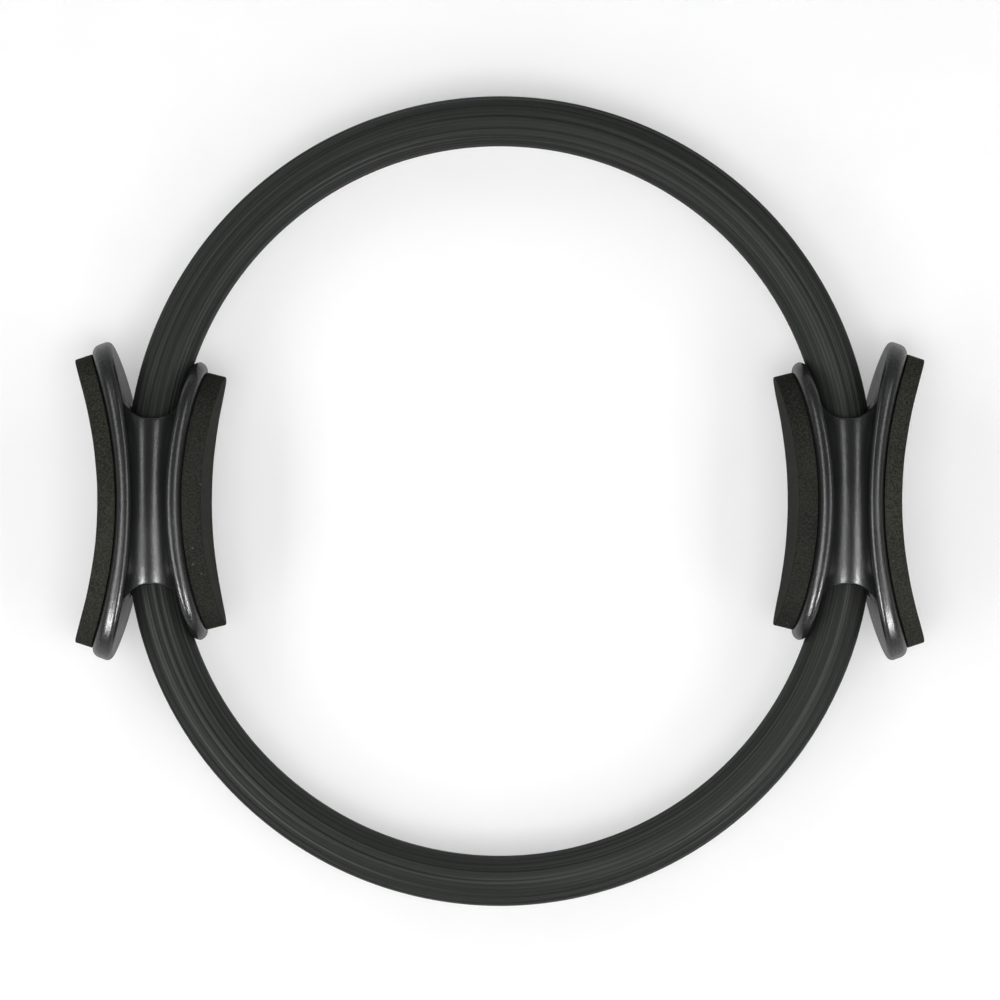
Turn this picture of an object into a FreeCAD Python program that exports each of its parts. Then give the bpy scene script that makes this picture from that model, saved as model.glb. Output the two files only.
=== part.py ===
import FreeCAD, Part

# A pilates ring lying flat. X runs from handle to handle, Y across the hoop and Z up, with the
# origin at the hoop's centre. Two sprung arcs in foam sleeves run between two moulded handles,
# each with a foam pad on its two oval plates. The right side and the upper arc are modelled,
# and the other pieces are their mirror images.

import math
import os
import re

import Sketcher
from FreeCAD import Placement, Rotation, Vector

SIZES = {
    # Hoop: each arc is a half circle whose ends run straight through the handles.
    "arc_radius": "153",
    "straight_half": "14",
    # Foam sleeve, cut square just inside the handle's mouth.
    "sleeve_diameter": "22.3",
    "sleeve_bore": "14",
    "sleeve_entry": "0.9",
    # Spring bands, one inside the other in each sleeve.
    "band_width": "12",
    "band_thickness": "2.4",
    "band_gap": "1.2",
    "band_end_gap": "2",
    "fit_clearance": "0.3",
    # Handle plates: curved ovals, measured on their pad faces.
    "outer_face_offset": "12.8",
    "inner_face_offset": "15.4",
    "outer_plate_radius": "163",
    "inner_plate_radius": "181",
    "outer_plate_half_length": "67.3",
    "inner_plate_half_length": "59.7",
    "plate_half_height": "33",
    "plate_thickness": "6.9",
    # How many times flatter a plate's back is than one of even thickness.
    "outer_back_flatness": "1.25",
    "inner_back_flatness": "1",
    # How far the plates' ends follow the plates' radius: 1 is square to the pad face.
    "outer_end_lean": "0.8",
    "inner_end_lean": "1",
    "rim_flat": "0.3",
    "rim_ring_radius": "2.5",
    # Handle hub: a saddle between the plates, open at both ends for the hoop.
    "hub_half_length": "36.3",
    "groove_depth": "11",
    "groove_end_depth": "8.5",
    "hub_sink": "0.3",
    "groove_fullness": "1.04",
    "mouth_clearance": "2.2",
    "mouth_lead": "5",
    "lip_reach": "8",
    "lip_radius": "12.5",
    "lip_round": "1.5",
    "lip_overrun": "0.1",
    # Hollows behind the pads, which keep the hub's walls even.
    "hollow_height": "9",
    "hollow_half_length": "13",
    "hollow_depth": "8",
    "hollow_wall": "3.7",
    # Screws through both bands.
    "screw_diameter": "3.5",
    "screw_length": "19.5",
    "screw_point": "2",
    "screw_tip_diameter": "0.9",
    "screw_head_diameter": "7",
    "screw_head_height": "2.4",
    "screw_seat_wall": "3.5",
    "screw_first": "5.5",
    "screw_pitch": "6",
    "thread_clearance": "0.05",
    # Spacer strips between the bands where they are clamped.
    "spacer_length": "13.5",
    "spacer_clearance": "0.1",
    # Foam pads.
    "outer_pad_thickness": "7.8",
    "inner_pad_thickness": "8.3",
    "outer_pad_margin": "2.6",
    "inner_pad_margin": "3.2",
    "pad_end_lean": "0.77",
    "glue_gap": "0.15",
}

# Places that several pieces share, in the words of the sheet.
OUTER_CENTRE = "(arc_radius + outer_face_offset + outer_plate_radius)"
INNER_CENTRE = "(arc_radius - inner_face_offset - inner_plate_radius)"
PAD_RIM_RADIUS = "(plate_thickness - rim_flat - rim_ring_radius)"
HALF_STACK = "(band_gap / 2 + band_thickness)"
SCREW_SEAT = f"(arc_radius + {HALF_STACK} + fit_clearance + screw_seat_wall)"
SCREW_PLACES = ["screw_first", "(screw_first + screw_pitch)"]
SLOT_HALF_HEIGHT = "(band_width / 2 + fit_clearance)"

# Turns a shape's own axes from X, Y, Z to the part's Y, Z, X.
FACING_X = Rotation(Vector(1, 1, 1), 120)
UPRIGHT = Vector(0, 0, 1)
SECTION_PLACES = ["-1", "-0.5", "0", "0.5", "1"]
ACROSS_HANDLES = Vector(1, 0, 0)
ACROSS_ARCS = Vector(0, 1, 0)
QUARTER_TURN = "90"
EVEN_THICKNESS = "1"

# Two corners of a sketch that are nearer than this are one, and a cut takes more than this volume.
SAME_PLACE = 0.001
LEAST_CUT = 1

doc = FreeCAD.newDocument("pilates_ring")
sheet = doc.addObject("Spreadsheet::Sheet", "sizes")
for row, (alias, number) in enumerate(SIZES.items(), start=1):
    sheet.set(f"A{row}", alias)
    sheet.set(f"B{row}", number)
    sheet.setAlias(f"B{row}", alias)
doc.recompute()


def in_sheet(text):
    """The same expression with every size read from the sheet."""
    return re.sub(r"[a-z_]+", lambda word: f"sizes.{word[0]}" if word[0] in SIZES else word[0], text)


def value(text):
    """The number that an expression has now."""
    return float(sheet.evalExpression(in_sheet(text)))


def make(kind, name, **links):
    item = doc.addObject(kind, name)
    for key, link in links.items():
        setattr(item, key, link)
    return item


def bind(item, expressions):
    for path, text in expressions.items():
        item.setExpression(path, in_sheet(text))
    return item


def at(x="0", y="0", z="0"):
    """Expressions that place an object."""
    return {"Placement.Base.x": x, "Placement.Base.y": y, "Placement.Base.z": z}


def fuse(name, pieces):
    return make("Part::MultiFuse", name, Shapes=pieces, Refine=True)


def cut(name, base, tool):
    return make("Part::Cut", name, Base=base, Tool=tool)


def mirror(label, source, normal):
    return make("Part::Mirroring", label, Source=source, Normal=normal)


def box(name, x, y, z):
    """A box between two places along each axis."""
    block = make("Part::Box", name)
    spans = {"Length": x, "Width": y, "Height": z}
    bind(block, {side: f"({last}) - ({first})" for side, (first, last) in spans.items()})
    return bind(block, at(x[0], y[0], z[0]))


def rod_along_x(name, radius, start, end, y):
    rod = make("Part::Cylinder", name, Placement=Placement(Vector(), FACING_X))
    bind(rod, {"Radius": radius, "Height": f"({end}) - ({start})"})
    return bind(rod, at(start, y))


def disc(name, radius, height, x="0", y="0", turn=0, sweep="360"):
    """An upright cylinder, centred on the hoop's plane."""
    drum = make("Part::Cylinder", name, Placement=Placement(Vector(), Rotation(UPRIGHT, turn)))
    bind(drum, {"Radius": radius, "Height": height, "Angle": sweep})
    return bind(drum, at(x, y, f"-{height} / 2"))


def plate_axis(side):
    """Where the axis of a plate's pad face is along X, and which way it lies from the hub."""
    return (OUTER_CENTRE, 1) if side == "outer" else (INNER_CENTRE, -1)


def flat_back(side, radius, flatness):
    """The round that a slab's back follows where it is thinnest in the middle: its radius and axis."""
    centre, outward = plate_axis(side)
    back_radius = f"({flatness} * ({radius}))"
    return back_radius, f"({centre} + {outward} * ({back_radius} - ({radius})))"


def curved_oval(name, side, radius, thickness, half_length, half_height, lean, flatness):
    """An oval slab bent about an upright axis, and concave towards the pad.

    A lean of one leaves its ends square to its front, and a smaller one less aslant.
    A flatness of EVEN_THICKNESS bends its back about the same axis, and a larger one less.
    """
    face = f"{side}_plate_radius"
    centre, outward = plate_axis(side)
    seam_turn = 90 - 90 * outward
    height = f"(4 * {half_height})"
    back_radius, back_centre = flat_back(side, f"{radius} + {thickness}", flatness)
    shell = cut(
        f"{name}_shell",
        disc(f"{name}_back", back_radius, height, back_centre, turn=seam_turn),
        disc(f"{name}_front", radius, height, centre, turn=seam_turn),
    )
    end = f"sqrt(({face})^2 - ({half_length})^2)"
    distances = {"near": f"({end} - 2 * {thickness})", "far": f"({face} + 2 * {thickness})"}
    ovals = []
    for station, distance in distances.items():
        oval = make("Part::Ellipse", f"{name}_{station}", Placement=Placement(Vector(), FACING_X))
        length = f"({half_length}) * (1 + {lean} * ({distance} / {end} - 1))"
        bind(oval, {"MajorRadius": length, "MinorRadius": half_height})
        ovals.append(bind(oval, at(f"{centre} - {outward} * {distance}")))
    wedge = make("Part::Loft", f"{name}_wedge", Sections=ovals, Solid=True, Ruled=True)
    return make("Part::Common", name, Base=shell, Tool=wedge)


def rounded_plate(side):
    """One handle plate, whose rim has a wide round on the pad's side and a tight one behind."""
    name = f"{side}_plate"
    plate = curved_oval(
        f"{name}_blank",
        side,
        f"{name}_radius",
        "plate_thickness",
        f"{name}_half_length",
        "plate_half_height",
        f"{side}_end_lean",
        f"{side}_back_flatness",
    )
    doc.recompute()
    axis = value(plate_axis(side)[0])
    middle_radius = value(f"{name}_radius + plate_thickness / 2")
    rims = []
    for number, edge in enumerate(plate.Shape.Edges, start=1):
        if edge.Length > 2 * value("plate_half_height"):
            corner = edge.Vertexes[0].Point
            on_pad_side = math.hypot(corner.x - axis, corner.y) < middle_radius
            rim_radius = value(PAD_RIM_RADIUS if on_pad_side else "rim_ring_radius")
            rims.append((number, rim_radius, rim_radius))
    return make("Part::Fillet", name, Base=plate, Edges=rims)


def plate_backs(along):
    """Where the two plates' facing sides are at a place along the hub: inner, then outer."""
    backs = []
    for side in ("inner", "outer"):
        depth = f"{side}_plate_radius + plate_thickness"
        radius, centre = flat_back(side, depth, f"{side}_back_flatness")
        outward = plate_axis(side)[1]
        backs.append(f"({centre} - {outward} * sqrt({radius}^2 - {along}^2))")
    return backs


def origin_plane(body, role):
    return next(plane for plane in body.Origin.OriginFeatures if plane.Role == role)


def sketch_on(body, name, role, offset):
    sketch = body.newObject("Sketcher::SketchObject", name)
    sketch.AttachmentSupport = [(origin_plane(body, role), "")]
    sketch.MapMode = "FlatFace"
    return bind(sketch, {"AttachmentOffset.Base.z": offset})


def hub_section(body, number, share):
    """A cross-section of the saddle: concave above and below, let into both plates at its sides."""
    along = f"({share} * (hub_half_length + lip_reach))"
    inner_back, outer_back = plate_backs(along)
    inner = f"({inner_back} - hub_sink)"
    outer = f"({outer_back} + hub_sink)"
    half_width = f"(({outer} - {inner}) / 2)"
    radius = f"(groove_fullness * {half_width})"
    oval_share = f"sqrt(1 - ({along} / (inner_plate_half_length - groove_end_depth))^2)"
    crest = f"((plate_half_height - groove_depth) * {oval_share})"
    corner = f"({crest} + {radius} - sqrt({radius}^2 - {half_width}^2))"

    left, right, top, low = (value(text) for text in (inner, outer, corner, crest))
    middle = (left + right) / 2
    places = [(left, top), (right, top), (right, -top), (left, -top)]
    corners = [Vector(x, height, 0) for x, height in places]
    sketch = sketch_on(body, f"hub_section_{number}", "XZ_Plane", along)
    sketch.addGeometry(Part.Arc(corners[0], Vector(middle, low, 0), corners[1]))
    sketch.addGeometry(Part.LineSegment(corners[1], corners[2]))
    sketch.addGeometry(Part.Arc(corners[2], Vector(middle, -low, 0), corners[3]))
    sketch.addGeometry(Part.LineSegment(corners[3], corners[0]))
    return sketch, {"left": inner, "right": outer, "top": corner, "radius": radius}


def arc_end(sketch, geometry, target):
    """Which end of an arc lies at a place: 1 is its start and 2 its end."""
    return min((1, 2), key=lambda end: sketch.getPoint(geometry, end).distanceToPoint(target))


def constrain_section(sketch, places):
    upper, right_side, lower, left_side = range(4)
    for arc in (upper, lower):
        for side in (right_side, left_side):
            for end in (1, 2):
                corner = sketch.getPoint(side, end)
                near = arc_end(sketch, arc, corner)
                if sketch.getPoint(arc, near).distanceToPoint(corner) < SAME_PLACE:
                    sketch.addConstraint(Sketcher.Constraint("Coincident", side, end, arc, near))
    sketch.addConstraint(Sketcher.Constraint("Symmetric", right_side, 1, right_side, 2, -1))
    sketch.addConstraint(Sketcher.Constraint("Symmetric", left_side, 1, left_side, 2, -1))
    sizes = {
        "right": ("DistanceX", -1, 1, right_side, 1),
        "left": ("DistanceX", -1, 1, left_side, 2),
        "top": ("DistanceY", -1, 1, right_side, 1),
        "left_top": ("DistanceY", -1, 1, left_side, 2),
        "radius": ("Radius", upper),
        "lower_radius": ("Radius", lower),
    }
    expressions = dict(places, left_top=places["top"], lower_radius=places["radius"])
    for name, constraint in sizes.items():
        text = expressions[name]
        number = sketch.addConstraint(Sketcher.Constraint(*constraint, value(text)))
        sketch.renameConstraint(number, name)
        bind(sketch, {f"Constraints.{name}": text})


def saddle_hub():
    body = make("PartDesign::Body", "hub")
    sections = []
    for number, share in enumerate(SECTION_PLACES):
        sketch, places = hub_section(body, number, share)
        constrain_section(sketch, places)
        sections.append(sketch)
    doc.recompute()
    loft = body.newObject("PartDesign::AdditiveLoft", "hub_loft")
    loft.Profile = sections[0]
    loft.Sections = sections[1:]
    body.Tip = loft
    upper = mouth_hollow()
    lower = mirror("lower_mouth", upper, ACROSS_ARCS)
    return round_lips(cut("hub_with_mouths", body, fuse("hub_mouths", [upper, lower])))


def round_lips(hub):
    """The hub with the edges of its mouths rounded, above and below."""
    doc.recompute()
    start = value("hub_half_length")
    round_radius = value("lip_round")
    rims = []
    for number, edge in enumerate(hub.Shape.Edges, start=1):
        first, last = (vertex.Point for vertex in edge.Vertexes)
        at_mouth = min(abs(first.y), abs(last.y)) > start - SAME_PLACE
        if at_mouth and first.y * last.y > 0 and first.z * last.z > 0:
            rims.append((number, round_radius, round_radius))
    return make("Part::Fillet", "rounded_hub", Base=hub, Edges=rims)


def mouth_hollow():
    """What is cut from the hub's upper end, so that its lip curves up to both plates."""
    end = "(hub_half_length + 2 * lip_reach)"
    past = "(hub_sink + lip_overrun)"
    near_inner, near_outer = plate_backs("hub_half_length")
    far_inner, far_outer = plate_backs(end)
    wedge = make("Part::Wedge", "upper_mouth_blank")
    bind(wedge, {"Ymin": "hub_half_length", "Ymax": end})
    bind(wedge, {"Xmin": f"{near_inner} - {past}", "Xmax": f"{near_outer} + {past}"})
    bind(wedge, {"X2min": f"{far_inner} - {past}", "X2max": f"{far_outer} + {past}"})
    for low, high in (("Zmin", "Zmax"), ("Z2min", "Z2max")):
        bind(wedge, {low: "-plate_half_height", high: "plate_half_height"})
    doc.recompute()
    lip = value("lip_radius")
    start = value("hub_half_length")
    corners = []
    for number, edge in enumerate(wedge.Shape.Edges, start=1):
        first, last = (vertex.Point for vertex in edge.Vertexes)
        upright = abs(first.z - last.z) > SAME_PLACE
        if upright and abs(first.y - start) < SAME_PLACE:
            corners.append((number, lip, lip))
    return make("Part::Fillet", "upper_mouth", Base=wedge, Edges=corners)


def hoop_passage(name, centre_y, turn, turn_share):
    """The round way for the sleeve at one mouth, following the arc."""
    start = "asin(mouth_lead / arc_radius) / 1 deg"
    passage = make("Part::Torus", name, Placement=Placement(Vector(), Rotation(UPRIGHT, 1)))
    bind(passage, {"Radius1": "arc_radius", "Radius2": "sleeve_diameter / 2 + mouth_clearance"})
    bind(passage, {"Angle3": QUARTER_TURN})
    bind(passage, {"Placement.Rotation.Angle": f"{turn} * ({start} + {turn_share} * {QUARTER_TURN})"})
    return bind(passage, at(y=centre_y))


def screw_ways(name, y):
    """Pilot hole and head hollow for one screw."""
    thread = "screw_diameter / 2 + thread_clearance"
    head = "screw_head_diameter / 2 + fit_clearance"
    tip = f"{SCREW_SEAT} - screw_length"
    return [
        rod_along_x(f"{name}_pilot", thread, tip, SCREW_SEAT, y),
        rod_along_x(f"{name}_head_way", head, SCREW_SEAT, f"{SCREW_SEAT} + outer_plate_radius", y),
    ]


def hollows():
    """The four hollows behind the pads, above and below the band slot."""
    outer_face = "(arc_radius + outer_face_offset)"
    inner_face = "(arc_radius - inner_face_offset)"
    spans = {
        "outer": (f"({outer_face} - hollow_depth)", f"({outer_face} + plate_thickness)"),
        "inner": (f"({inner_face} - plate_thickness)", f"({inner_face} + hollow_depth)"),
    }
    low = f"({SLOT_HALF_HEIGHT} + hollow_wall)"
    high = f"({low} + hollow_height)"
    length = ("-hollow_half_length", "hollow_half_length")
    pieces = []
    for side, span in spans.items():
        pieces.append(box(f"{side}_upper_hollow", span, length, (low, high)))
        pieces.append(box(f"{side}_lower_hollow", span, length, (f"-{high}", f"-{low}")))
    return pieces


def handle():
    blank = fuse("handle_blank", [rounded_plate("outer"), rounded_plate("inner"), saddle_hub()])
    slot = box(
        "band_slot",
        (f"(arc_radius - {HALF_STACK} - fit_clearance)", f"(arc_radius + {HALF_STACK} + fit_clearance)"),
        ("-hub_half_length", "hub_half_length"),
        (f"-{SLOT_HALF_HEIGHT}", SLOT_HALF_HEIGHT),
    )
    ways = [slot]
    ways.append(hoop_passage("upper_passage", "straight_half", "1", "0"))
    ways.append(hoop_passage("lower_passage", "-straight_half", "-1", "1"))
    for side, sign in (("upper", ""), ("lower", "-")):
        for number, place in enumerate(SCREW_PLACES):
            ways += screw_ways(f"{side}_screw_{number}", f"{sign}{place}")
    return cut("right_handle", blank, fuse("handle_ways", ways + hollows()))


def pad(side):
    thickness = f"{side}_pad_thickness"
    return curved_oval(
        f"right_{side}_pad",
        side,
        f"({side}_plate_radius - glue_gap - {thickness})",
        thickness,
        f"({side}_plate_half_length - {side}_pad_margin)",
        f"(plate_half_height - {side}_pad_margin)",
        "pad_end_lean",
        EVEN_THICKNESS,
    )


def sleeve():
    start = "asin((hub_half_length - sleeve_entry - straight_half) / arc_radius) / 1 deg"
    tube = make("Part::Torus", "sleeve_tube", Placement=Placement(Vector(), Rotation(UPRIGHT, 1)))
    bind(tube, {"Radius1": "arc_radius", "Radius2": "sleeve_diameter / 2"})
    bind(tube, {"Angle3": f"180 - 2 * {start}", "Placement.Rotation.Angle": start})
    bore = make("Part::Torus", "sleeve_hollow")
    bind(bore, {"Radius1": "arc_radius", "Radius2": "sleeve_bore / 2"})
    for ring in (tube, bore):
        bind(ring, at(y="straight_half"))
    return cut("upper_sleeve", tube, bore)


def band(side):
    """A flat strip bent to a half circle, with straight ends drilled for the screws."""
    near = "(arc_radius + band_gap / 2)" if side == "outer" else f"(arc_radius - {HALF_STACK})"
    far = f"({near} + band_thickness)"
    bend = cut(
        f"{side}_band_bend",
        disc(f"{side}_band_back", far, "band_width", y="straight_half", sweep="180"),
        disc(f"{side}_band_front", near, "(2 * band_width)", y="straight_half"),
    )
    ends = [
        box(
            f"{side}_band_{end}",
            span,
            ("band_end_gap / 2", "straight_half"),
            ("-band_width / 2", "band_width / 2"),
        )
        for end, span in (("right_end", (near, far)), ("left_end", (f"-{far}", f"-{near}")))
    ]
    radius = "screw_diameter / 2 + fit_clearance"
    holes = [
        rod_along_x(f"{side}_band_hole_{number}", radius, f"-2 * {far}", f"2 * {far}", place)
        for number, place in enumerate(SCREW_PLACES)
    ]
    blank = fuse(f"{side}_band_blank", [bend] + ends)
    return cut(f"upper_{side}_band", blank, fuse(f"{side}_band_holes", holes))


def spacer():
    half_gap = "(band_gap / 2 - spacer_clearance)"
    strip = box(
        "spacer_strip",
        (f"(arc_radius - {half_gap})", f"(arc_radius + {half_gap})"),
        ("band_end_gap / 2", "(band_end_gap / 2 + spacer_length)"),
        ("-band_width / 2", "band_width / 2"),
    )
    radius = "screw_diameter / 2 + thread_clearance"
    span = ("arc_radius - band_gap", "arc_radius + band_gap")
    holes = [
        rod_along_x(f"spacer_hole_{number}", radius, *span, place)
        for number, place in enumerate(SCREW_PLACES)
    ]
    return cut("right_upper_spacer", strip, fuse("spacer_holes", holes))


def screw(number, place):
    """A pan head screw, driven towards the ring's centre."""
    name = f"screw_{number}"
    tip = f"({SCREW_SEAT} - screw_length)"
    shank_end = f"({tip} + screw_point)"
    head_top = f"{SCREW_SEAT} + screw_head_height"
    head = rod_along_x(f"{name}_head", "screw_head_diameter / 2", SCREW_SEAT, head_top, place)
    shank = rod_along_x(f"{name}_shank", "screw_diameter / 2", shank_end, SCREW_SEAT, place)
    point = make("Part::Cone", f"{name}_point", Placement=Placement(Vector(), FACING_X))
    bind(point, {"Radius1": "screw_tip_diameter / 2", "Radius2": "screw_diameter / 2"})
    bind(point, {"Height": "screw_point"})
    bind(point, at(tip, place))
    return fuse(name, [head, shank, point])


def screws():
    pair = [screw(number, place) for number, place in enumerate(SCREW_PLACES)]
    return make("Part::Compound", "right_upper_screws", Links=pair)


def left_copy(piece):
    return mirror(piece.Label.replace("right", "left"), piece, ACROSS_HANDLES)


def lower_copy(piece):
    return mirror(piece.Label.replace("upper", "lower"), piece, ACROSS_ARCS)


sub_parts = []
for piece in (handle(), pad("outer"), pad("inner")):
    sub_parts += [piece, left_copy(piece)]
for piece in (sleeve(), band("outer"), band("inner")):
    sub_parts += [piece, lower_copy(piece)]
for piece in (spacer(), screws()):
    lower = lower_copy(piece)
    sub_parts += [piece, lower, left_copy(piece), left_copy(lower)]

doc.recompute()

for item in doc.Objects:
    if "Invalid" in item.State or "Error" in item.State:
        raise RuntimeError(f"{item.Label} failed: {item.State}")
for item in doc.Objects:
    if item.TypeId == "Part::Cut" and item.Shape.Volume > item.Base.Shape.Volume - LEAST_CUT:
        raise RuntimeError(f"{item.Label} cuts nothing")
for item in sub_parts:
    if item.Shape.isNull() or not item.Shape.isValid() or not item.Shape.Solids:
        raise RuntimeError(f"{item.Label} has no valid solid")

os.makedirs("parts", exist_ok=True)
for item in sub_parts:
    item.Shape.exportStep(f"parts/{item.Label}.step")
    volume = sum(solid.Volume for solid in item.Shape.Solids) / 1000
    print(f"{item.Label}: {len(item.Shape.Solids)} solids, {volume:.2f} cm3")
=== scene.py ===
import math

import bmesh
import bpy
from bpy.props import FloatProperty, FloatVectorProperty, IntProperty, PointerProperty
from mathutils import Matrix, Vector, noise


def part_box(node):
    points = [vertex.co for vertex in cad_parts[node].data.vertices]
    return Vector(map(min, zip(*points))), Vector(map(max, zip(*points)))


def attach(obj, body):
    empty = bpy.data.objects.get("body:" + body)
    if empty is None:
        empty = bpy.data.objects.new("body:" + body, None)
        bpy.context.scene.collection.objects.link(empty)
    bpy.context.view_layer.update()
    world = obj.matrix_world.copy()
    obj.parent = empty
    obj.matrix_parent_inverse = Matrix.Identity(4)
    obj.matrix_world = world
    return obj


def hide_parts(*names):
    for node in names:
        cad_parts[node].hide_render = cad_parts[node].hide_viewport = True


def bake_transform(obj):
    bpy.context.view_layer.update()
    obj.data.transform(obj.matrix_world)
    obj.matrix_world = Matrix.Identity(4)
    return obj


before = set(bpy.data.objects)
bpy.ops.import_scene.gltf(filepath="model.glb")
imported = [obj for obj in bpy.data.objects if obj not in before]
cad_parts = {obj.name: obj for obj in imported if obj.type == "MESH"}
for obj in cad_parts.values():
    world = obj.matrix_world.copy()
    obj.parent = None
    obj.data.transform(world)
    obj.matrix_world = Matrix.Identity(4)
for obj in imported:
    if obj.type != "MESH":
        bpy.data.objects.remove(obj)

bl_info = {
    "name": "Pilates Ring",
    "version": (1, 0, 0),
    "blender": (4, 5, 0),
    "location": "View3D > Sidebar > Ring",
    "description": "Dresses a pilates ring with ribbed foam sleeves, foam pads and glossy handles",
    "category": "Add Mesh",
}

# Sizes read from the CAD frame, in metres.
SLEEVE_LOW, SLEEVE_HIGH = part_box("upper_sleeve")
SPACER_LOW, SPACER_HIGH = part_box("right_upper_spacer")
BAND_LOW, BAND_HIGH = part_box("upper_outer_band")
INNER_BAND_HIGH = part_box("upper_inner_band")[1]
OUTER_PAD_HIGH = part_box("right_outer_pad")[1]
INNER_PAD_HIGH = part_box("right_inner_pad")[1]
HANDLE_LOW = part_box("right_handle")[0]
TUBE_RADIUS = SLEEVE_HIGH.z
ARC_RADIUS = (SPACER_LOW.x + SPACER_HIGH.x) / 2
ARC_CENTRE = SLEEVE_HIGH.y - TUBE_RADIUS - ARC_RADIUS
SLEEVE_START = math.asin((SLEEVE_LOW.y - ARC_CENTRE) / (ARC_RADIUS - TUBE_RADIUS))
BAND_GAP = 2 * (ARC_CENTRE + ARC_RADIUS - INNER_BAND_HIGH.y)
BAND_THICKNESS = BAND_HIGH.y - ARC_CENTRE - ARC_RADIUS - BAND_GAP / 2

# Marks in the materials: how many lie in a metre, and how deep they are in metres.
STRANDS_PER_METRE, STRAND_DEPTH = 2400.0, 0.00004
CLOUDS_PER_METRE = 90.0
SPACER_GRAIN_PER_METRE, SPACER_GRAIN_DEPTH = 1800.0, 0.00003
LATHE_RINGS_PER_METRE, LATHE_RING_DEPTH = 5000.0, 0.00002
STAINS_PER_METRE = 300.0
PAPER_MARKS_PER_METRE = 40.0

# The span in which most of a noise's values lie, how far a speck covers the foam, and drawn lines to a rib.
NOISE_SPAN = (0.3, 0.7)
SPECK_COVER = 0.5
LINES_PER_RIB = 2.1

# How a pad's wall is divided, and how often a point's place on the bent slab is worked out again.
WALL_STEPS = 4
SETTLE_PASSES = 6

# The ribs' change along the hoop, where and how closely calm stretches lie round the tube, the distance at
# which points are joined, in metres, and the fold that is shaded as a crisp edge, in radians.
RIB_DRIFT = 0.12
CALM_SPOT, CALM_SCALE = 3.7, 1.3
WELD_DISTANCE = 0.000002
CRISP_FOLD = 1.0

# The floor's rim bends up: the bend's radius in metres, its angle and the floor's divisions.
FLOOR_BEND_RADIUS, FLOOR_BEND = 3.0, math.radians(70)
FLOOR_BEND_STEPS, FLOOR_STEPS_AROUND = 16, 96

# The camera's sensor width in millimetres, and how far it sees in metres.
SENSOR_WIDTH, CAMERA_REACH = 36.0, 100.0

# Each quarter of the hoop: the body at its handle, the body at its crown, and which way it lies.
QUARTERS = {
    "upper_right": ("right_grip", "upper_arc", 1, 1),
    "upper_left": ("left_grip", "upper_arc", -1, 1),
    "lower_right": ("right_grip", "lower_arc", 1, -1),
    "lower_left": ("left_grip", "lower_springs", -1, -1),
}
SIDES = {"right": 1, "left": -1}


def linear(red, green, blue):
    """A colour given as 0 to 255 display values, as the linear values that Blender works in."""
    shares = [level / 255 for level in (red, green, blue)]
    return [share / 12.92 if share <= 0.04045 else ((share + 0.055) / 1.055) ** 2.4 for share in shares]


def shade(colour, share):
    """A colour made darker or lighter by a share, as the four values of a colour socket."""
    return [share * part for part in colour] + [1]


class Graph:
    """Adds nodes to a node tree and joins them up."""

    def __init__(self, tree):
        self.tree = tree

    def add(self, kind, inputs=None, **settings):
        """A new node; each input takes a socket to link or a value to hold."""
        node = self.tree.nodes.new(kind)
        for key, setting in settings.items():
            setattr(node, key, setting)
        for key, source in (inputs or {}).items():
            if isinstance(source, bpy.types.NodeSocket):
                self.tree.links.new(source, node.inputs[key])
            else:
                node.inputs[key].default_value = source
        return node

    def math(self, operation, first, second=0.0, clamp=False):
        """The result of one sum on two values."""
        node = self.add("ShaderNodeMath", {0: first, 1: second}, operation=operation, use_clamp=clamp)
        return node.outputs[0]

    def vector(self, x, y, z):
        """A vector made of three values."""
        return self.add("ShaderNodeCombineXYZ", {0: x, 1: y, 2: z}).outputs[0]

    def spread(self, fac, low, high, to_low=0.0, to_high=1.0):
        """A value moved from one span to another, with soft ends."""
        inputs = {"Value": fac, 1: low, 2: high, 3: to_low, 4: to_high}
        return self.add("ShaderNodeMapRange", inputs, interpolation_type="SMOOTHSTEP").outputs[0]

    def noise(self, vector, scale, detail=2.0, roughness=0.5):
        """A noise value from 0 to 1."""
        inputs = {"Vector": vector, "Scale": scale, "Detail": detail, "Roughness": roughness}
        return self.add("ShaderNodeTexNoise", inputs).outputs[0]

    def tint(self, fac, first, second):
        """A colour between two colours."""
        return self.add("ShaderNodeMix", {0: fac, 6: first, 7: second}, data_type="RGBA").outputs[2]


def new_group(name, kind, inputs, outputs):
    """A node group with named sockets, its graph, its input node and its output node."""
    tree = bpy.data.node_groups.new(name, kind)
    for label, socket in inputs:
        tree.interface.new_socket(label, in_out="INPUT", socket_type=socket)
    for label, socket in outputs:
        tree.interface.new_socket(label, in_out="OUTPUT", socket_type=socket)
    graph = Graph(tree)
    return graph, graph.add("NodeGroupInput").outputs, graph.add("NodeGroupOutput").inputs


def shader_group(name, inputs, outputs):
    """An empty shader group, or None if the file has it already."""
    if name in bpy.data.node_groups:
        return None
    return new_group(name, "ShaderNodeTree", inputs, outputs)


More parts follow.
